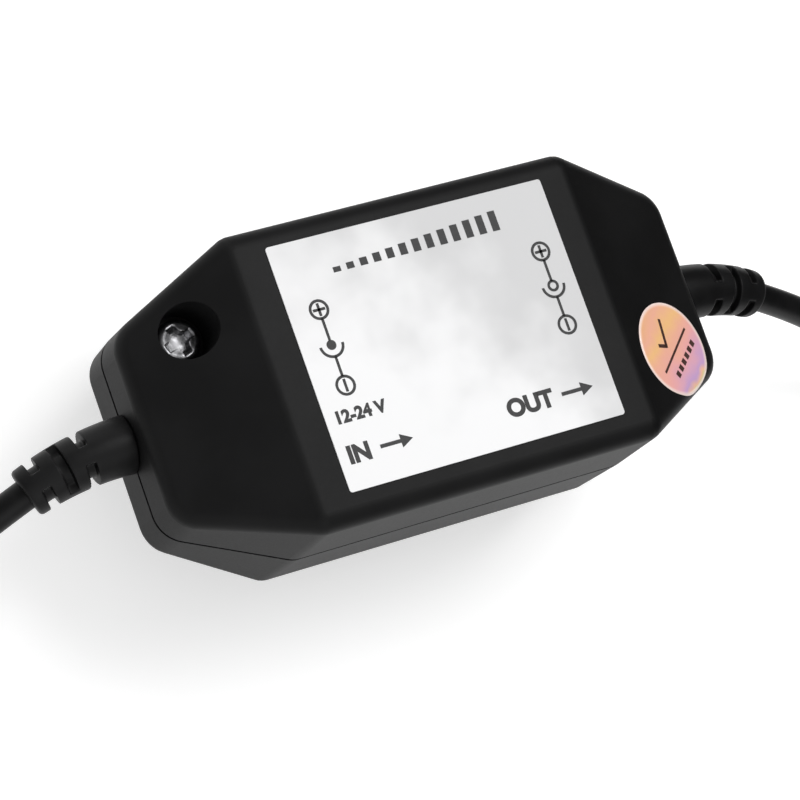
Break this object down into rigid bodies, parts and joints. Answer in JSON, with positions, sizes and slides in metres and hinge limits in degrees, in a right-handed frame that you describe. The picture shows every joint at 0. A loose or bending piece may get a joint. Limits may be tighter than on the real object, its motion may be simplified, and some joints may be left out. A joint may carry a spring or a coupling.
{
  "type": "led dimmer switch",
  "caption": "In-line dimmer for low-voltage LED strips: eight-sided black case, label side up, turning knob underneath, slotted strain reliefs, and a socket and a plug on short leads.",
  "frame": {"origin": "on the floor under the middle of the case, in the middle of the knob's face", "axes": "+X from the input lead to the output lead, +Z out of the label, +Y completes the frame"},
  "size_m": [0.2234, 0.0554, 0.0411],
  "materials": {
    "case_plastic": "fine matt texture",
    "knob_plastic": "satin",
    "pointer_paint": "matt",
    "relief_plastic": "soft satin",
    "cord_sheath": "soft satin",
    "label_foil": "silver, light gloss",
    "sticker_foil": "iridescent",
    "zinc_steel": "bright zinc",
    "nickel_plate": "nickel",
    "contact_brass": "tinned",
    "insulator_plastic": "matt",
    "board_laminate": "solder mask",
    "wafer_laminate": "paper laminate",
    "chip_plastic": "matt",
    "tinned_legs": "tinned",
    "tab_metal": "tinned copper",
    "capacitor_sleeve": "shrunk sleeve",
    "resistor_paint": "lacquer",
    "diode_plastic": "matt",
    "ceramic_coat": "dipped",
    "wire_insulation": "satin"
  },
  "bodies": {
    "case": {"back_cover": "case_plastic", "front_case": "case_plastic", "case_screws": "zinc_steel", "rating_label": "label_foil", "inspection_sticker": "sticker_foil", "input_strain_relief": "relief_plastic", "output_strain_relief": "relief_plastic", "input_cord": "cord_sheath", "output_cord": "cord_sheath", "input_socket_shell": "relief_plastic", "input_socket_contact": "nickel_plate", "input_socket_pin": "nickel_plate", "output_plug_grip": "relief_plastic", "output_plug_barrel": "nickel_plate", "output_plug_insulator": "insulator_plastic", "output_plug_inner_contact": "contact_brass", "potentiometer_bush": "nickel_plate", "potentiometer_can": "zinc_steel", "potentiometer_wafer": "wafer_laminate", "potentiometer_terminals": "tinned_legs", "potentiometer_washer": "zinc_steel", "potentiometer_nut": "nickel_plate", "circuit_board": "board_laminate", "timer_chip": "chip_plastic", "timer_chip_legs": "tinned_legs", "transistor_tab": "tab_metal", "transistor_body": "chip_plastic", "transistor_legs": "tinned_legs", "input_capacitor": "capacitor_sleeve", "resistors": "resistor_paint", "flyback_diode": "diode_plastic", "ceramic_capacitors": "ceramic_coat", "input_wires": "wire_insulation", "output_wires": "wire_insulation"},
    "knob": {"knob": "knob_plastic", "knob_pointer": "pointer_paint", "potentiometer_shaft": "zinc_steel"}
  },
  "joints": [
    {"name": "knob_turn", "type": "hinge", "parent": "case", "child": "knob", "pos_m": [0, 0, 0], "axis": [0, 0, 1], "range_deg": [-150, 150]}
  ]
}
